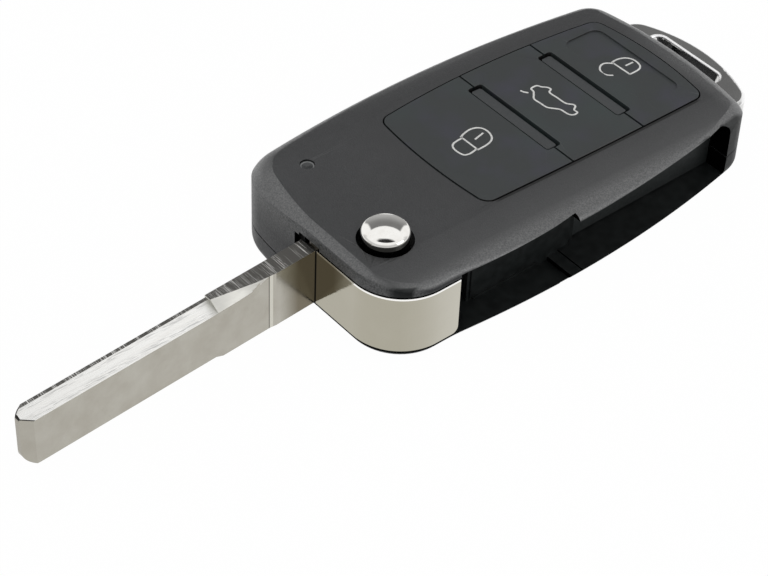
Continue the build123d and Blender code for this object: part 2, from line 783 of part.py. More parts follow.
def seat_screw():
    """Pan-head screw through the spring seat into the post."""
    head_low = post_top_z + seat_thick
    screw = post(0, 0, screw_r, post_foot_z, head_low + head_edge_r)
    screw += post(0, 0, screw_head_r, head_low, head_low + screw_head_h)
    top = head_low + screw_head_h
    for turn in (0, 90):
        screw -= Rot(0, 0, turn) * bar_block(-drive_r, drive_r, -drive_r / 4, drive_r / 4,
                                             top - drive_depth, form_height)
    return screw


def flip_spring():
    """Coil spring that lifts the button and throws the blade out."""
    low = post_top_z + seat_thick + spring_wire_r
    high = flange_z0 - spring_wire_r
    path = Pos(0, 0, low) * Helix((high - low) / spring_turns, high - low, spring_mean_r)
    section = Plane(path @ 0, z_dir=path % 0) * Circle(spring_wire_r)
    return sweep(section, path=path)


def case_screw():
    """Countersunk screw that holds the front lower shell."""
    screw = post(*case_xy, case_screw_r, case_head_h / 2, case_screw_top)
    screw += Pos(*case_xy, case_head_z + case_head_h / 2) * Cone(case_head_r, case_screw_r, case_head_h)
    for turn in (0, 90):
        slot = bar_block(-drive_r, drive_r, -drive_r / 4, drive_r / 4, -overcut,
                         case_head_z + drive_depth)
        screw -= Pos(*case_xy, 0) * Rot(0, 0, turn) * slot
    return screw


def tray_screw(index):
    """Pan-head screw that holds the tray to a boss of the upper shell."""
    x, y = tray_boss_xy[index]
    head_top = tray_z0 - wall / 2
    screw = post(x, y, tray_screw_r, head_top - head_edge_r, tray_z0 + tray_screw_length)
    screw += post(x, y, tray_screw_head_r, head_top - screw_head_h, head_top)
    for turn in (0, 90):
        slot = bar_block(-drive_r, drive_r, -drive_r / 4, drive_r / 4, -overcut,
                         head_top - screw_head_h + drive_depth)
        screw -= Pos(x, y, 0) * Rot(0, 0, turn) * slot
    return screw


nodes = {
    "upper_shell": upper_shell(),
    "lower_shell": lower_shell(),
    "battery_cover": battery_cover(),
    "electronics_tray": electronics_tray(),
    "keypad_mat": keypad_mat(),
    "lock_button": lock_button(),
    "boot_button": boot_button(),
    "unlock_button": unlock_button(),
    "led_lens": led_lens(),
    "key_loop": key_loop(),
    "cell_clip": cell_clip(),
    "blade": blade(),
    "blade_head": blade_head(),
    "blade_pin": blade_pin(),
    "release_button": release_button(),
    "flip_spring": flip_spring(),
    "spring_seat": spring_seat(),
    "seat_screw": seat_screw(),
    "case_screw": case_screw(),
    "tray_screw_front": tray_screw(0),
    "tray_screw_rear": tray_screw(1),
}

for name, shape in nodes.items():
    box = shape.bounding_box()
    print(name, round(shape.volume, 2), len(shape.solids()), shape.is_valid, box.min, box.max)
    export_step(shape, "parts/" + name + ".step")
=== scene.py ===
import math

import bpy
from mathutils import Matrix, Vector


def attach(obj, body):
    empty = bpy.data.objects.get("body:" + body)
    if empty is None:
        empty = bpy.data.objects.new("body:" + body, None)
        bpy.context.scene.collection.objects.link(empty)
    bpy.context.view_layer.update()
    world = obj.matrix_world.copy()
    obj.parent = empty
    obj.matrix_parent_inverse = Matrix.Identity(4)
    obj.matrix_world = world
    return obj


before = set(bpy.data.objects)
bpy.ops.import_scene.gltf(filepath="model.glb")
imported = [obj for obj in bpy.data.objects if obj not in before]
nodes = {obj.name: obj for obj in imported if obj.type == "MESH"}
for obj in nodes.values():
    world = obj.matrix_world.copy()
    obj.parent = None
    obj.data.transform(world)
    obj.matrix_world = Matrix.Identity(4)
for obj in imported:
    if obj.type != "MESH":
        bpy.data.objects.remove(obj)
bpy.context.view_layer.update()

MM = 0.001


def mm(*values):
    """Sizes or places in millimetres, given back in metres."""
    return tuple(value * MM for value in values)


# The key remote lies with its blade toward -X, its near side toward -Y and its keys up
PLATEAU_Z = 13.47 * MM
PLATEAU_SLOPE = 0.030
CAP_RISE = 0.08 * MM
FIELD_DROP = 0.22 * MM
BLADE_TURN = math.radians(-3.3)

# Painted lines of the key symbols, half width in millimetres
LINE_HALF_WIDTH = 0.15
LINE_FLAT_SHARE = 0.86
LINE_END_SHARE = 0.6
LINE_UNDER_FACE = 0.02 * MM
LINE_OVER_FACE = 0.018 * MM
CURVE_STEPS = 6

# Softened edges, widths in millimetres
EDGE_WIDTHS = {
    "blade": 0.14, "blade_head": 0.20, "lock_button": 0.07, "boot_button": 0.07,
    "unlock_button": 0.16, "keypad_mat": 0.07, "upper_shell": 0.10, "lower_shell": 0.10,
    "battery_cover": 0.10, "key_loop": 0.10,
}
EDGE_ANGLE = math.radians(32)
BLADE_EDGE_ANGLE = math.radians(44)
EDGE_STEPS = 2
WELD_REACH = 0.001 * MM

# Spans of a noise that run from its dark to its light colour
NOISE_SPAN = (0.3, 0.7)
GRAIN_SPAN = (0.36, 0.66)

# Colours, as the darker and the lighter one where there are two
# Black as painted shade, deep in the slot, along the keys and on the caps' near sides
SHADE_BLACK = (0.001, 0.001, 0.001)
SHELL_FLAT = ((0.0135, 0.0145, 0.0158), (0.025, 0.026, 0.028))
# Painted sheen on the shell's shoulders
SHELL_SHEEN = ((0.036, 0.037, 0.038), (0.118, 0.120, 0.121))
# Painted shade inside the blade slot
SHELL_SLOT_SHADE = ((0.006, 0.007, 0.007), (0.014, 0.016, 0.016))
INNER = ((0.010, 0.012, 0.012), (0.019, 0.022, 0.022))
RUBBER = ((0.030, 0.034, 0.036), (0.046, 0.050, 0.053))
CAP = ((0.017, 0.021, 0.022), (0.022, 0.027, 0.028))
CAP_VIOLET = (0.026, 0.027, 0.041)
CAP_GREEN = (0.020, 0.030, 0.030)
STEEL = ((0.42, 0.42, 0.42), (0.56, 0.56, 0.56))
SPRING = ((0.30, 0.30, 0.31), (0.42, 0.42, 0.43))
HEAD = ((0.40, 0.38, 0.31), (0.54, 0.52, 0.455))
HEAD_SHADE = (0.335, 0.312, 0.25)
# Painted highlight on the head's edges
HEAD_EDGE_HIGHLIGHT = (0.95, 0.94, 0.91)
# Painted shadow along the blade joint
HEAD_SEAM_SHADOW = (0.05, 0.045, 0.04)
DOME = ((0.88, 0.865, 0.825), (0.96, 0.95, 0.92))
# Painted shade on the dome's side wall
DOME_SIDE_SHADE = (0.20, 0.195, 0.18)
LOOP = ((0.62, 0.62, 0.61), (0.74, 0.74, 0.73))
# Painted highlight on the loop's rims
LOOP_RIM_HIGHLIGHT = (0.98, 0.98, 0.98)
BLADE_SIDE = ((0.385, 0.365, 0.315), (0.45, 0.435, 0.385))
# Painted shade on the blade tip's front faces
BLADE_TIP_SHADE = (0.33, 0.31, 0.265)
# Painted shade on the blade sides near the head
BLADE_ROOT_SHADE = (0.17, 0.148, 0.107)
STRIP_DARK = (0.15, 0.14, 0.12)
STRIP_LIGHT = (0.60, 0.585, 0.52)
# Milled metal lightened by a painted highlight
BLADE_SLOPE_METAL_AND_HIGHLIGHT = ((0.88, 0.87, 0.84), (0.98, 0.98, 0.96))
BLADE_STREAK = (0.50, 0.50, 0.49)
# Painted shade on the slope's scooped end
BLADE_SCOOP_SHADE = (0.62, 0.615, 0.58)
# Top painted dark as shade, lighter in its cross scratches
BLADE_TOP_SHADE_AND_SCRATCHES = ((0.155, 0.15, 0.14), (0.98, 0.97, 0.94))
BLADE_LINE = (0.04, 0.038, 0.035)
LENS = ((0.030, 0.032, 0.033), (0.052, 0.055, 0.056))
LENS_RING = (0.19, 0.195, 0.195)
PAINT = ((0.58, 0.58, 0.57), (0.78, 0.78, 0.76))

# The camera, fitted to the photograph: focal length and shift are in its pixels
CAMERA_PLACE = (-0.15223, -0.17365, 0.21726)
CAMERA_RIGHT = (0.77010, -0.63708, 0.03269)
CAMERA_UP = (0.41330, 0.53732, 0.73517)
CAMERA_BACK = (-0.48593, -0.55264, 0.67710)
PHOTO_WIDTH = 768
FOCAL_PIXELS = 2377.97
SHIFT_PIXELS = (-1.77, 0.12)
SENSOR_WIDTH = 36.0
CLIP_START = 0.01
CLIP_END = 20.0

# The floor and the light over it
FLOOR_HALF = 1.6
FLOOR_GAP = 0.02 * MM
FLOOR_COLOUR = (0.88, 0.88, 0.88, 1.0)
FLOOR_GLOW = 0.985
SOFTBOX_PLACE = (0.36, -0.68, 0.30)
SOFTBOX_TARGET = (0.02, 0.01, 0.0)
SOFTBOX_SIZE = 0.44
SOFTBOX_POWER = 1.2

# The room that reflections see: how bright its parts are, and where its walls and dark spot lie
ROOM_LEVEL = 0.75
CEILING_LEVEL = 1.2
WALL_LEVEL = 0.26
WALL_FOOT_SHARE = 2.1
WALL_HEAD_SHARE = 0.92
SIDE_LEVEL = 1.2
SPOT_LEVEL = 0.03
WALL_WAY = (0.66, 0.75, 0.0)
ACROSS_WAY = (0.75, -0.66, 0.0)
SPOT_AHEAD = 0.10
SPOT_ACROSS = 0.04


# Node trees
class Tree:
    """A small writer for one node tree."""

    def __init__(self, owner, fade="LINEAR"):
        owner.use_nodes = True
        self.tree = owner.node_tree
        self.tree.nodes.clear()
        self.fade = fade

    def fill(self, socket, value):
        """Links the socket to another one, or sets its constant."""
        if isinstance(value, bpy.types.NodeSocket):
            self.tree.links.new(value, socket)
        else:
            socket.default_value = value

    def add(self, kind, **inputs):
        node = self.tree.nodes.new(kind)
        for key, value in inputs.items():
            self.fill(node.inputs[key.replace("_", " ")], value)
        return node

    def math(self, operation, first, second=0.0):
        node = self.tree.nodes.new("ShaderNodeMath")
        node.operation = operation
        self.fill(node.inputs[0], first)
        self.fill(node.inputs[1], second)
        return node.outputs[0]

    def plus(self, first, second):
        return self.math("ADD", first, second)

    def minus(self, first, second):
        return self.math("SUBTRACT", first, second)

    def times(self, first, second):
        return self.math("MULTIPLY", first, second)

    def both(self, mask, *others):
        """A mask that is full only where all the given ones are."""
        for other in others:
            mask = self.times(mask, other)
        return mask

    def either(self, mask, *others):
        """A mask that is full where any of the given ones is."""
        for other in others:
            mask = self.math("MAXIMUM", mask, other)
        return mask

    def inverse(self, mask):
        return self.minus(1.0, mask)

    def split(self, vector):
        node = self.add("ShaderNodeSeparateXYZ", Vector=vector)
        return [node.outputs[name] for name in "XYZ"]

    def toward(self, vector, way):
        """How far a vector reaches along a fixed way."""
        node = self.tree.nodes.new("ShaderNodeVectorMath")
        node.operation = "DOT_PRODUCT"
        self.fill(node.inputs[0], vector)
        self.fill(node.inputs[1], way)
        return node.outputs["Value"]

    def ramp(self, value, span, results):
        """Runs from the first to the second result where the value crosses the span."""
        node = self.add("ShaderNodeMapRange", Value=value, From_Min=span[0], From_Max=span[1],
                        To_Min=results[0], To_Max=results[1])
        node.interpolation_type = self.fade
        return node.outputs["Result"]

    def rise(self, value, span):
        """A mask that is 0 before the span, and 1 past it."""
        return self.ramp(value, span, (0.0, 1.0))

    def fall(self, value, span):
        """A mask that is 1 before the span, and 0 past it."""
        return self.ramp(value, span, (1.0, 0.0))

    def blend_shaders(self, share, first, second):
        node = self.add("ShaderNodeMixShader", Fac=share)
        self.fill(node.inputs[1], first.outputs[0])
        self.fill(node.inputs[2], second.outputs[0])
        return node.outputs[0]


class Surface(Tree):
    """A material: x, y, z give the place on the piece, and nx, ny, nz the way its face looks."""

    def __init__(self, name):
        self.material = bpy.data.materials.new(name)
        super().__init__(self.material)
        self.shader = self.add("ShaderNodeBsdfPrincipled")
        self.add("ShaderNodeOutputMaterial", Surface=self.shader.outputs["BSDF"])
        self.place = self.add("ShaderNodeTexCoord").outputs["Object"]
        self.normal = self.add("ShaderNodeNewGeometry").outputs["Normal"]
        self.x, self.y, self.z = self.split(self.place)
        self.nx, self.ny, self.nz = self.split(self.normal)

    def noise(self, scale=1.0, detail=2.0, rough=0.5, stretch=None, turn=0.0):
        """Noise by place on the piece; a stretch gives each axis its own scale."""
        vector = self.place
        if stretch:
            mapping = self.add("ShaderNodeMapping", Vector=vector, Scale=stretch,
                               Rotation=(0.0, 0.0, turn))
            vector = mapping.outputs["Vector"]
        node = self.add("ShaderNodeTexNoise", Vector=vector, Scale=scale, Detail=detail,
                        Roughness=rough)
        return node.outputs["Fac"]

    def mix(self, share, first, second):
        """The first colour where the share is 0, the second where it is 1."""
        node = self.tree.nodes.new("ShaderNodeMix")
        node.data_type = "RGBA"
        self.fill(node.inputs["Factor"], share)
        for name, colour in (("A", first), ("B", second)):
            socket = [s for s in node.inputs if s.name == name and s.type == "RGBA"][0]
            self.fill(socket, (*colour, 1.0) if isinstance(colour, tuple) else colour)
        return [s for s in node.outputs if s.type == "RGBA"][0]

    def tones(self, noise, colours, span=NOISE_SPAN):
        """Lets a noise run from the darker to the lighter colour."""
        return self.mix(self.rise(noise, span), *colours)

    def gloss(self, noise, roughness):
        """Lets a noise run from the lower to the higher roughness."""
        return self.ramp(noise, NOISE_SPAN, roughness)

    def bump(self, height, distance):
        node = self.add("ShaderNodeBump", Height=height, Distance=distance)
        self.fill(self.shader.inputs["Normal"], node.outputs["Normal"])

    def set(self, **values):
        for key, value in values.items():
            self.fill(self.shader.inputs[key.replace("_", " ")], value)


# Plastics
def plastic_noise(n, grain, speck):
    """Fine grain, specks, and the grain with a slow change of tone added."""
    fine = n.noise(scale=grain, rough=0.6)
    slow = n.noise(scale=90.0, detail=3.0, rough=0.55)
    specks = n.noise(scale=speck, detail=1.0)
    fine_share = 0.6
    tone = n.plus(n.times(fine, fine_share), n.times(slow, 1.0 - fine_share))
    return fine, specks, tone


def moulded(name, colours, roughness, grain, speck, depth, specular):
    """Plain moulded plastic with fine grain and a slow change of tone."""
    n = Surface(name)
    fine, specks, tone = plastic_noise(n, grain, speck)
    n.set(Base_Color=n.tones(tone, colours, GRAIN_SPAN), Roughness=n.gloss(specks, roughness),
          Specular_IOR_Level=specular)
    n.bump(fine, depth)
    return n.material


def sheen_shoulders(n):
    """Shoulders of the shell that get a painted sheen: near side, front end and rear, without the nose.
    """
    wall_to_shoulder = (0.15, 0.6)
    shoulder_to_plateau = (0.974, 0.985)
    to_far_side = (0.1, 0.35)
    near_side = n.both(n.rise(n.nz, wall_to_shoulder), n.fall(n.nz, shoulder_to_plateau),
                       n.fall(n.ny, to_far_side))

    facing_front = (-0.45, -0.2)
    front_end = mm(6.0, 9.0)
    front_foot = mm(7.5, 11.5)
    front_head = mm(12.7, 13.3)
    front = n.both(n.fall(n.nx, facing_front), n.fall(n.x, front_end), n.rise(n.z, front_foot),
                   n.fall(n.z, front_head))

    facing_rear = (0.1, 0.35)
    tilted_up = (0.25, 0.6)
    rear_end = mm(56.8, 59.6)
    rear_near = mm(6.0, 16.0)
    far_share = 0.15
    tilted = n.rise(n.nz, tilted_up)
    corner = n.both(n.rise(n.nx, facing_rear), tilted)
    back = n.both(n.rise(n.x, rear_end), tilted, n.ramp(n.y, rear_near, (1.0, far_share)))

    nose_turn = (0.0, 0.25)
    nose_end = mm(4.0, 10.0)
    aside = n.math("ABSOLUTE", n.toward(n.normal, ACROSS_WAY))
    nose = n.both(n.fall(aside, nose_turn), n.fall(n.x, nose_end))
    return n.both(n.either(near_side, front, corner, back), n.inverse(nose))


def shell_slot(n):
    """Faces inside the slot and the openings that get painted shade: all of them, and those that face the
    front.
    """
    facing_up = (0.7, 0.8)
    floor_top = mm(2.6, 2.9)
    facing_near = (-0.7, -0.6)
    panel_front = mm(-9.2, -8.9)
    facing_front = (-0.5, -0.4)
    rear_start = mm(20.0, 22.0)
    floor = n.both(n.rise(n.nz, facing_up), n.fall(n.z, floor_top))
    panel = n.both(n.fall(n.ny, facing_near), n.rise(n.y, panel_front))
    rear = n.both(n.fall(n.nx, facing_front), n.rise(n.x, rear_start))
    return n.either(floor, panel, rear), rear


def keypad_gap_shadow(n):
    """Painted shadow along the near side of the keys: on the opening's wall and in a line on the plateau
    over it.
    """
    facing_far = (0.15, 0.3)
    wall_end_y = mm(4.0, 5.0)
    wall_start_x = mm(12.0, 13.0)
    wall = n.both(n.rise(n.ny, facing_far), n.fall(n.y, wall_end_y), n.rise(n.x, wall_start_x))

    bow_middle = 35.85 * MM
    bow_reach = 20.5 * MM
    bow_depth = 0.2 * MM
    rim_start_y = mm(-3.19, -3.12)
    rim_end_y = mm(0.0, 1.0)
    rim_start_x = mm(16.5, 17.5)
    rim_end_x = mm(54.5, 55.5)
    run = n.times(n.minus(n.x, bow_middle), 1.0 / bow_reach)
    past = n.minus(n.y, n.times(n.times(run, run), bow_depth))
    painted_rim = n.both(n.rise(past, rim_start_y), n.fall(n.y, rim_end_y), n.rise(n.x, rim_start_x),
                 n.fall(n.x, rim_end_x))

    gap_foot = mm(9.0, 10.0)
    # Painted shadow on the opening's wall and in a line beside it
    return n.both(n.either(wall, painted_rim), n.rise(n.z, gap_foot))


def shell_material():
    """Grained black plastic with a painted sheen on its shoulders, duller and with painted shade inside
    the blade slot and by the keys.
    """
    n = Surface("shell_grain")
    fine, specks, tone = plastic_noise(n, grain=5200.0, speck=2900.0)
    flat = n.tones(tone, SHELL_FLAT, GRAIN_SPAN)
    # Painted sheen for the shoulders, with a fine grain
    shoulder_sheen = n.tones(n.noise(scale=4600.0, rough=0.7), SHELL_SHEEN, GRAIN_SPAN)
    # Painted shade for the faces inside the slot
    inside = n.tones(n.noise(scale=700.0), SHELL_SLOT_SHADE)
    hidden, slot_rear = shell_slot(n)
    deep_shade = n.either(slot_rear, keypad_gap_shadow(n))

    sheen_share = 0.95
    outside = n.mix(n.times(sheen_shoulders(n), sheen_share), flat, shoulder_sheen)
    # Painted shade: the slot's rear wall and the gap along the keys go near black
    colour = n.mix(deep_shade, n.mix(hidden, outside, inside), SHADE_BLACK)

    wall_to_top = (0.15, 0.6)
    wall_sheen = 0.16
    hidden_dull = 0.55
    deep_dull = 0.4
    facing = n.ramp(n.nz, wall_to_top, (wall_sheen, 1.0))
    dull = n.plus(n.times(hidden, hidden_dull), n.times(deep_shade, deep_dull))
    n.set(Base_Color=colour, Roughness=n.gloss(specks, (0.32, 0.42)),
          Specular_IOR_Level=n.times(facing, n.inverse(dull)))
    n.bump(n.times(fine, n.inverse(hidden)), 0.04 * MM)
    return n.material


def cap_material():
    """Smooth dark key caps with faint cool patches, and near sides painted black as shade."""
    n = Surface("key_satin")
    fine = n.noise(scale=3800.0, rough=0.6)
    violet_span = (0.5, 0.72)
    green_span = (0.5, 0.75)
    violet = n.rise(n.noise(scale=160.0), violet_span)
    green = n.rise(n.noise(scale=110.0, detail=1.0), green_span)
    face = n.mix(green, n.mix(violet, n.tones(fine, CAP), CAP_VIOLET), CAP_GREEN)
    # Painted shade: the caps' near sides go black
    facing_near = (-0.5, -0.25)
    near_side = n.fall(n.ny, facing_near)
    n.set(Base_Color=n.mix(near_side, face, SHADE_BLACK), Roughness=n.gloss(fine, (0.38, 0.46)),
          Specular_IOR_Level=0.85)
    n.bump(fine, 0.004 * MM)
    return n.material


# Metals
def metal(name, colours, roughness, stretch):
    """Plain metal with faint drawn marks."""
    n = Surface(name)
    marks = n.noise(detail=3.0, rough=0.6, stretch=stretch)
    n.set(Base_Color=n.tones(n.noise(scale=120.0), colours), Metallic=1.0,
          Roughness=n.gloss(marks, roughness))
    n.bump(marks, 0.004 * MM)
    return n.material


def head_metal():
    """Warm chrome with painted light: lighter to the rear, a painted highlight on its edges, and painted
    shade by the blade joint.
    """
    n = Surface("head_chrome")
    marks = n.noise(detail=3.0, rough=0.6, stretch=(260.0, 260.0, 7000.0))
    wave = n.noise(detail=1.0, stretch=(500.0, 1500.0, 2600.0), turn=math.radians(30))

    # Painted light: lighter toward the rear, over a slow random change of tone
    front_to_rear = mm(-4.0, 5.5)
    rear_light = 0.7
    slow_tone = 0.3
    tone_span = (0.15, 0.85)
    tone = n.plus(n.times(n.noise(scale=150.0), slow_tone), n.ramp(n.x, front_to_rear, (0.0, rear_light)))
    base = n.tones(tone, HEAD, tone_span)

    shade_way = (0.0, 1.0, 0.652)
    shade_start = mm(6.5, 7.1)
    facing_front = (-0.5, -0.4)
    shade = n.both(n.rise(n.toward(n.place, shade_way), shade_start), n.fall(n.nx, facing_front))

    # Painted highlight on the slanted edge faces and on a band along the top
    wall_to_edge = (0.2, 0.35)
    edge_to_top = (0.93, 0.97)
    edge_height = mm(10.68, 10.72)
    edge = n.both(n.rise(n.nz, wall_to_edge), n.fall(n.nz, edge_to_top))
    edge = n.either(edge, n.rise(n.z, edge_height))

    # Painted shadow: a thin dark band on the front face beside the blade's near side
    square_to_front = (-0.95, -0.9)
    seam_y = mm(5.60, 5.66)
    seam_shadow = n.both(n.fall(n.nx, square_to_front), n.rise(n.y, seam_y))

    colour = n.mix(edge, n.mix(shade, base, HEAD_SHADE), HEAD_EDGE_HIGHLIGHT)
    n.set(Base_Color=n.mix(seam_shadow, colour, HEAD_SEAM_SHADOW), Metallic=1.0,
          Roughness=n.gloss(marks, (0.05, 0.10)))
    wave_share = 1.5
    n.bump(n.plus(marks, n.times(wave, wave_share)), 0.003 * MM)
    return n.material


def button_metal():
    """Polished chrome dome with painted shade on its side wall."""
    n = Surface("button_chrome")
    marks = n.noise(scale=900.0, detail=3.0, rough=0.6)
    wall_to_dome = (0.05, 0.5)
    # Painted shade on the side wall down into the hole
    side = n.fall(n.nz, wall_to_dome)
    n.set(Base_Color=n.mix(side, n.tones(marks, DOME), DOME_SIDE_SHADE), Metallic=1.0,
          Roughness=n.gloss(marks, (0.03, 0.07)))
    n.bump(marks, 0.002 * MM)
    return n.material


def loop_metal():
    """Cast loop with a painted highlight on the rims that face the front or the rear, which are also
    duller.
    """
    n = Surface("loop_chrome")
    marks = n.noise(detail=3.0, rough=0.6, stretch=(500.0, 500.0, 4000.0))
    facing_front = (-0.15, -0.05)
    facing_rear = (0.1, 0.3)
    tilted_up = (0.1, 0.3)
    # Painted highlight on the rims that face the front or the rear
    painted_rim = n.both(n.either(n.fall(n.nx, facing_front), n.rise(n.nx, facing_rear)), n.rise(n.nz, tilted_up))
    plate = n.tones(n.noise(scale=120.0), LOOP)
    rim_dull = 0.25
    n.set(Base_Color=n.mix(painted_rim, plate, LOOP_RIM_HIGHLIGHT), Metallic=1.0,
          Roughness=n.plus(n.gloss(marks, (0.07, 0.14)), n.times(painted_rim, rim_dull)))
    n.bump(marks, 0.003 * MM)
    return n.material


def blade_sides(n):
    """Satin sides with painted shade on the tip's front faces and toward the head, and a dark-edged light
    strip across.
    """
    blotch_span = (0.3, 0.72)
    facing_front = (-0.9, -0.4)
    side = n.tones(n.noise(scale=260.0, detail=3.0, rough=0.6), BLADE_SIDE, blotch_span)
    # Painted shade on the faces that look to the front
    side = n.mix(n.fall(n.nx, facing_front), side, BLADE_TIP_SHADE)

    # Painted shade on the sides near the head
    root_start = mm(-13.0, -9.8)
    wall_to_slope = (0.05, 0.3)
    side = n.mix(n.both(n.rise(n.x, root_start), n.fall(n.nz, wall_to_slope)), side, BLADE_ROOT_SHADE)

    dark_start = mm(-14.83, -14.78)
    dark_end = mm(-14.68, -14.63)
    light_start = mm(-14.63, -14.58)
    light_end = mm(-14.18, -14.08)
    side = n.mix(n.both(n.rise(n.x, dark_start), n.fall(n.x, dark_end)), side, STRIP_DARK)
    return n.mix(n.both(n.rise(n.x, light_start), n.fall(n.x, light_end)), side, STRIP_LIGHT)


def blade_slope(n, along):
    """The milled slope, lightened by a painted highlight, with two rows of grey streaks, and its scooped
    end painted darker as shade.
    """
    slope_span = (0.38, 0.66)
    # Milled metal, lightened by a painted highlight
    slope = n.tones(along, BLADE_SLOPE_METAL_AND_HIGHLIGHT, slope_span)

    middle_foot = mm(9.80, 9.95)
    middle_head = mm(10.01, 10.21)
    upper_foot = mm(10.38, 10.48)
    upper_head = mm(10.55, 10.65)
    streak_span = (0.50, 0.56)
    streak_share = 0.7
    rows = n.either(n.both(n.rise(n.z, middle_foot), n.fall(n.z, middle_head)),
                    n.both(n.rise(n.z, upper_foot), n.fall(n.z, upper_head)))
    breaks = n.noise(rough=0.6, stretch=(420.0, 9000.0, 9000.0), turn=BLADE_TURN)
    streaks = n.both(rows, n.rise(breaks, streak_span))
    slope = n.mix(n.times(streaks, streak_share), slope, BLADE_STREAK)

    # Painted shade on the scooped end, toning down the light on it
    scoop_start = mm(-24.5, -23.5)
    return n.mix(n.rise(n.x, scoop_start), slope, BLADE_SCOOP_SHADE)


def blade_lines(n, milled):
    """Thin dark lines round the milled tip and where the blade goes into the head."""
    near_way = (-0.51, -0.86, 0.0)
    near_line = mm(23.60, 23.64)
    far_way = (-0.55, 0.835, 0.0)
    far_line = mm(33.62, 33.66)
    tip_line = mm(-53.50, -53.46)
    tip = n.either(n.rise(n.toward(n.place, near_way), near_line),
                   n.rise(n.toward(n.place, far_way), far_line), n.fall(n.x, tip_line))

    under_to_side = (-0.1, -0.05)
    side_to_slope = (0.1, 0.15)
    head_line = mm(-7.0, -6.95)
    root = n.both(n.rise(n.nz, under_to_side), n.fall(n.nz, side_to_slope), n.rise(n.x, head_line))
    return n.either(n.both(milled, tip), root)


def blade_metal():
    """Nickel blade: satin sides, a milled slope lightened by a painted highlight, and a cross-scratched
    top painted dark as shade.
    """
    n = Surface("blade_nickel")
    along = n.noise(detail=4.0, rough=0.65, stretch=(160.0, 7000.0, 7000.0), turn=BLADE_TURN)
    cross = n.noise(rough=0.6, stretch=(13000.0, 200.0, 900.0), turn=BLADE_TURN)
    wide = n.noise(stretch=(900.0, 90.0, 60.0), turn=BLADE_TURN)

    # The top painted dark as shade, with light cross scratches
    scratch_span = (0.55, 0.61)
    patch_span = (0.36, 0.50)
    top = n.mix(n.both(n.rise(cross, scratch_span), n.rise(wide, patch_span)), *BLADE_TOP_SHADE_AND_SCRATCHES)

    side_to_slope = (0.2, 0.3)
    slope_to_flat = (0.955, 0.975)
    facing_front = (-0.6, -0.5)
    step_start = mm(-24.0, -23.6)
    step_foot = mm(9.6, 9.7)
    milled = n.both(n.rise(n.nz, side_to_slope), n.fall(n.nz, slope_to_flat))
    step = n.both(n.fall(n.nx, facing_front), n.rise(n.x, step_start), n.rise(n.z, step_foot))
    is_slope = n.either(milled, step)

    slope_to_top = (0.955, 0.98)
    top_foot = mm(10.0, 10.5)
    is_top = n.both(n.rise(n.nz, slope_to_top), n.rise(n.z, top_foot))

    colour = n.mix(is_top, n.mix(is_slope, blade_sides(n), blade_slope(n, along)), top)
    colour = n.mix(blade_lines(n, milled), colour, BLADE_LINE)

    scoop_start = mm(-25.5, -23.5)
    top_dull = 0.2
    scoop_dull = 0.3
    scoop = n.both(milled, n.rise(n.x, scoop_start))
    dull = n.plus(n.times(is_top, top_dull), n.times(scoop, scoop_dull))
    n.set(Base_Color=colour, Metallic=1.0, Roughness=n.plus(n.gloss(along, (0.14, 0.25)), dull))
    along_share = 0.35
    n.bump(n.plus(n.times(along, along_share), n.times(cross, is_top)), 0.006 * MM)
    return n.material


# Lens and paint
def middle(node, axis):
    """The middle of a node along one axis, from the frame."""
    places = [vertex.co[axis] for vertex in node.data.vertices]
    return (min(places) + max(places)) / 2


def lens_material():
    """Smoky light pipe with a paler ring at its edge."""
    n = Surface("lens_clear")
    cloud = n.noise(scale=1500.0)
    dx = n.minus(n.x, middle(nodes["led_lens"], 0))
    dy = n.minus(n.y, middle(nodes["led_lens"], 1))
    radius = n.math("SQRT", n.plus(n.times(dx, dx), n.times(dy, dy)))
    ring_inner = mm(0.76, 0.82)
    ring_outer = mm(0.90, 0.95)
    ring = n.both(n.rise(radius, ring_inner), n.fall(radius, ring_outer))
    n.set(Base_Color=n.mix(ring, n.tones(cloud, LENS), LENS_RING),
          Roughness=n.gloss(cloud, (0.15, 0.3)), IOR=1.49)
    n.bump(cloud, 0.006 * MM)
    return n.material


def symbol_paint():
    """Off-white printed line, slightly uneven in tone."""
    n = Surface("symbol_paint")
    uneven = n.noise(scale=2600.0, detail=3.0, rough=0.6)
    uneven_span = (0.35, 0.7)
    n.set(Base_Color=n.tones(uneven, PAINT, uneven_span), Roughness=n.gloss(uneven, (0.45, 0.65)))
    n.bump(uneven, 0.008 * MM)
    return n.material


# Looks of the nodes
shell = shell_material()
inner = moulded("inner_plain", INNER, roughness=(0.42, 0.55), grain=2600.0, speck=1430.0,
                depth=0.008 * MM, specular=0.3)
rubber = moulded("mat_rubber", RUBBER, roughness=(0.42, 0.52), grain=4200.0, speck=2310.0,
                 depth=0.01 * MM, specular=0.7)
caps = cap_material()
steel = metal("steel_plain", STEEL, roughness=(0.2, 0.35), stretch=(3000.0, 3000.0, 600.0))
spring = metal("spring_wire", SPRING, roughness=(0.2, 0.3), stretch=(1200.0, 1200.0, 1200.0))

looks = {
    "upper_shell": shell, "lower_shell": shell, "battery_cover": shell,
    "electronics_tray": inner, "keypad_mat": rubber,
    "lock_button": caps, "boot_button": caps, "unlock_button": caps,
    "led_lens": lens_material(), "key_loop": loop_metal(), "cell_clip": spring,
    "blade": blade_metal(), "blade_head": head_metal(), "blade_pin": steel,
    "release_button": button_metal(), "flip_spring": spring, "spring_seat": steel,
    "seat_screw": steel, "case_screw": steel, "tray_screw_front": steel, "tray_screw_rear": steel,
}
for name, material in looks.items():
    data = nodes[name].data
    data.materials.clear()
    data.materials.append(material)

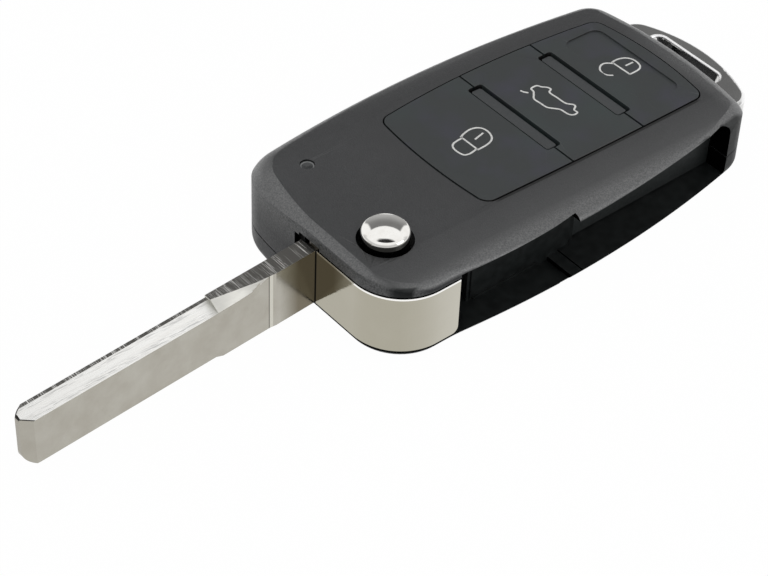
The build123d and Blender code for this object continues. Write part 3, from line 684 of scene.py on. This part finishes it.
# Edges that catch the light on machined and moulded pieces
for name, width in EDGE_WIDTHS.items():
    weld = nodes[name].modifiers.new("weld", "WELD")
    weld.merge_threshold = WELD_REACH
    soft = nodes[name].modifiers.new("edges", "BEVEL")
    soft.width = width * MM
    soft.segments = EDGE_STEPS
    soft.limit_method = "ANGLE"
    soft.angle_limit = BLADE_EDGE_ANGLE if name == "blade" else EDGE_ANGLE
    even = nodes[name].modifiers.new("even", "WEIGHTED_NORMAL")
    even.keep_sharp = True


# Key symbols, drawn in plan in millimetres
def smooth_line(points, closed):
    """Catmull-Rom points through a list of plan points."""
    count = len(points)
    made = []
    for i in range(count if closed else count - 1):
        if closed:
            near = [points[(i + k) % count] for k in (-1, 0, 1, 2)]
        else:
            near = [points[min(max(i + k, 0), count - 1)] for k in (-1, 0, 1, 2)]
        for s in range(CURVE_STEPS):
            t = s / CURVE_STEPS
            made.append(tuple(
                0.5 * (2 * b + (c - a) * t + (2 * a - 5 * b + 4 * c - d) * t ** 2
                       + (3 * b - a - 3 * c + d) * t ** 3)
                for a, b, c, d in zip(*near)))
    if not closed:
        made.append(points[-1])
    return made


def bar(*points):
    """A straight stroke."""
    return list(points), False


def curve(*points):
    """A smooth stroke with two ends."""
    return smooth_line(points, False), False


def outline(*points):
    """A smooth stroke that closes on itself."""
    return smooth_line(points, True), True


def ribbon(verts, faces, line, closed, low, high):
    """Adds one raised line with a flat top and longer free ends to a mesh, along the plateau."""
    section = ((-1.0, low), (-LINE_FLAT_SHARE, high), (LINE_FLAT_SHARE, high), (1.0, low))
    step = len(section)
    base = len(verts)
    count = len(line)
    for i, (x, y) in enumerate(line):
        before = line[(i - 1) % count] if closed or i else line[0]
        after = line[(i + 1) % count] if closed or i < count - 1 else line[-1]
        along = Vector((after[0] - before[0], after[1] - before[1]))
        along.normalize()
        side = Vector((-along.y, along.x)) * LINE_HALF_WIDTH
        if not closed and i in (0, count - 1):
            push = along * (LINE_HALF_WIDTH * LINE_END_SHARE) * (1 if i else -1)
            x, y = x + push.x, y + push.y
        for share, lift in section:
            px, py = (x + side.x * share) * MM, (y + side.y * share) * MM
            verts.append((px, py, PLATEAU_Z - PLATEAU_SLOPE * px + lift))
    for i in range(count if closed else count - 1):
        a, b = base + step * i, base + step * ((i + 1) % count)
        for k in range(step - 1):
            faces.append((a + k, a + k + 1, b + k + 1, b + k))


def symbol(name, strokes, face_lift, paint):
    """Makes one symbol from its strokes, on a key face that lies face_lift over the plateau."""
    verts, faces = [], []
    for line, closed in strokes:
        ribbon(verts, faces, line, closed, face_lift - LINE_UNDER_FACE, face_lift + LINE_OVER_FACE)
    mesh = bpy.data.meshes.new(name)
    mesh.from_pydata(verts, [], faces)
    mesh.update()
    mesh.materials.append(paint)
    piece = bpy.data.objects.new(name, mesh)
    bpy.context.scene.collection.objects.link(piece)
    return piece


lock_strokes = [
    curve((22.0, 10.35), (22.7, 10.65), (23.9, 10.9), (24.9, 10.75), (25.6, 10.2), (25.85, 9.3),
          (25.65, 8.3), (25.2, 7.6), (24.4, 7.15), (23.3, 6.95), (22.05, 6.9)),
    bar((22.0, 10.35), (22.05, 6.9)),
    curve((22.0, 10.1), (20.5, 9.95), (19.8, 9.55), (19.5, 8.85), (19.5, 7.95), (19.75, 7.15),
          (20.4, 6.9), (21.2, 6.95), (22.05, 7.15)),
    bar((23.3, 8.85), (25.0, 9.25)),
]
boot_strokes = [
    curve((35.8, 13.4), (35.95, 12.95), (36.3, 12.5)),
    outline((37.3, 12.9), (37.9, 13.05), (38.5, 12.95), (38.8, 12.4), (39.4, 11.8), (39.5, 11.2),
            (38.85, 10.75), (38.9, 9.2), (39.0, 7.6), (39.65, 6.75), (39.6, 6.25), (38.95, 5.8),
            (38.9, 5.1), (38.3, 4.95), (37.8, 5.2), (37.55, 5.75), (37.4, 6.95), (36.75, 7.75),
            (36.2, 8.5), (36.1, 9.7), (36.05, 10.9), (36.7, 11.7), (37.15, 12.25)),
]
unlock_strokes = [
    curve((51.3, 11.05), (52.4, 11.1), (53.4, 10.8), (54.05, 10.2), (54.3, 9.35), (54.15, 8.35),
          (53.75, 7.8), (53.0, 7.5), (51.4, 7.45)),
    bar((51.3, 11.05), (51.4, 7.45)),
    curve((51.25, 10.7), (50.7, 11.2), (50.1, 11.5), (49.4, 11.4), (48.8, 10.95), (48.45, 10.35),
          (48.4, 9.7), (48.7, 9.1), (49.2, 8.7)),
    bar((52.4, 9.3), (53.7, 9.3)),
]
symbol_look = symbol_paint()
for name, strokes, lift, body in (
        ("lock_symbol", lock_strokes, CAP_RISE, "lock_key"),
        ("boot_symbol", boot_strokes, CAP_RISE, "boot_key"),
        ("unlock_symbol", unlock_strokes, CAP_RISE - FIELD_DROP, "unlock_key")):
    piece = symbol(name, strokes, lift, symbol_look)
    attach(piece, body)


# Camera
def make_camera():
    """The camera of the photograph."""
    data = bpy.data.cameras.new("view")
    camera = bpy.data.objects.new("view", data)
    bpy.context.scene.collection.objects.link(camera)
    turn = Matrix((CAMERA_RIGHT, CAMERA_UP, CAMERA_BACK)).transposed().to_4x4()
    camera.matrix_world = Matrix.Translation(CAMERA_PLACE) @ turn
    data.sensor_width = SENSOR_WIDTH
    data.lens = FOCAL_PIXELS / PHOTO_WIDTH * SENSOR_WIDTH
    data.shift_x = SHIFT_PIXELS[0] / PHOTO_WIDTH
    data.shift_y = SHIFT_PIXELS[1] / PHOTO_WIDTH
    data.clip_start = CLIP_START
    data.clip_end = CLIP_END
    bpy.context.scene.camera = camera


# Stage and light
def make_floor():
    """A floor that shows white to the camera and in reflections, and keeps the shadow."""
    mesh = bpy.data.meshes.new("floor")
    corners = [(x * FLOOR_HALF, y * FLOOR_HALF, 0) for x, y in ((-1, -1), (1, -1), (1, 1), (-1, 1))]
    mesh.from_pydata(corners, [], [(0, 1, 2, 3)])
    floor = bpy.data.objects.new("floor", mesh)
    floor.location.z = -FLOOR_GAP
    bpy.context.scene.collection.objects.link(floor)
    material = bpy.data.materials.new("floor_white")
    n = Tree(material)
    rays = n.add("ShaderNodeLightPath").outputs
    seen = n.either(rays["Is Camera Ray"], rays["Is Glossy Ray"], rays["Is Transmission Ray"])
    matte = n.add("ShaderNodeBsdfDiffuse", Color=FLOOR_COLOUR)
    glow = n.add("ShaderNodeEmission", Color=(1.0, 1.0, 1.0, 1.0), Strength=1.0)
    shader = n.blend_shaders(n.times(seen, FLOOR_GLOW), matte, glow)
    n.add("ShaderNodeOutputMaterial", Surface=shader)
    mesh.materials.append(material)


def make_world():
    """White to the camera; to all else a bright room with one dark wall and a dark spot overhead."""
    world = bpy.data.worlds.new("studio")
    bpy.context.scene.world = world
    n = Tree(world, fade="SMOOTHSTEP")
    way = n.add("ShaderNodeTexCoord").outputs["Generated"]
    height = n.split(way)[2]
    ahead = n.toward(way, WALL_WAY)
    across = n.toward(way, ACROSS_WAY)

    def blend(share, low, high):
        return n.plus(low, n.times(share, n.minus(high, low)))

    room_to_ceiling = (0.35, 0.75)
    level = n.ramp(height, room_to_ceiling, (ROOM_LEVEL, CEILING_LEVEL))

    wall_start = (0.15, 0.45)
    wall_edge = (0.70, 0.74)
    wall_height = (0.0, 0.62)
    before_wall = n.rise(ahead, wall_start)
    wall_level = n.times(n.ramp(height, wall_height, (WALL_FOOT_SHARE, WALL_HEAD_SHARE)), WALL_LEVEL)
    level = blend(n.both(before_wall, n.fall(height, wall_edge)), level, wall_level)

    side_start = (0.36, 0.41)
    horizon = (-0.1, 0.1)
    sides = n.both(n.rise(n.math("ABSOLUTE", across), side_start), n.rise(height, horizon), before_wall)
    level = blend(sides, level, SIDE_LEVEL)

    spot_ahead = (0.05, 0.12)
    spot_across = (0.22, 0.34)
    spot_foot = (0.7, 0.8)
    from_ahead = n.math("ABSOLUTE", n.minus(ahead, SPOT_AHEAD))
    from_across = n.math("ABSOLUTE", n.minus(across, SPOT_ACROSS))
    spot = n.both(n.fall(from_ahead, spot_ahead), n.fall(from_across, spot_across),
                  n.rise(height, spot_foot))
    level = blend(spot, level, SPOT_LEVEL)

    room = n.add("ShaderNodeBackground", Strength=level)
    white = n.add("ShaderNodeBackground", Strength=1.0)
    seen = n.add("ShaderNodeLightPath").outputs["Is Camera Ray"]
    n.add("ShaderNodeOutputWorld", Surface=n.blend_shaders(seen, room, white))


def make_softbox():
    """One large soft light, to the right in the photograph."""
    data = bpy.data.lights.new("softbox", "AREA")
    data.shape = "SQUARE"
    data.size = SOFTBOX_SIZE
    data.energy = SOFTBOX_POWER
    lamp = bpy.data.objects.new("softbox", data)
    bpy.context.scene.collection.objects.link(lamp)
    lamp.location = SOFTBOX_PLACE
    aim = Vector(SOFTBOX_TARGET) - Vector(SOFTBOX_PLACE)
    lamp.rotation_euler = aim.to_track_quat("-Z", "Y").to_euler()


make_camera()
make_floor()
make_world()
make_softbox()

bpy.context.scene.view_settings.view_transform = "Standard"
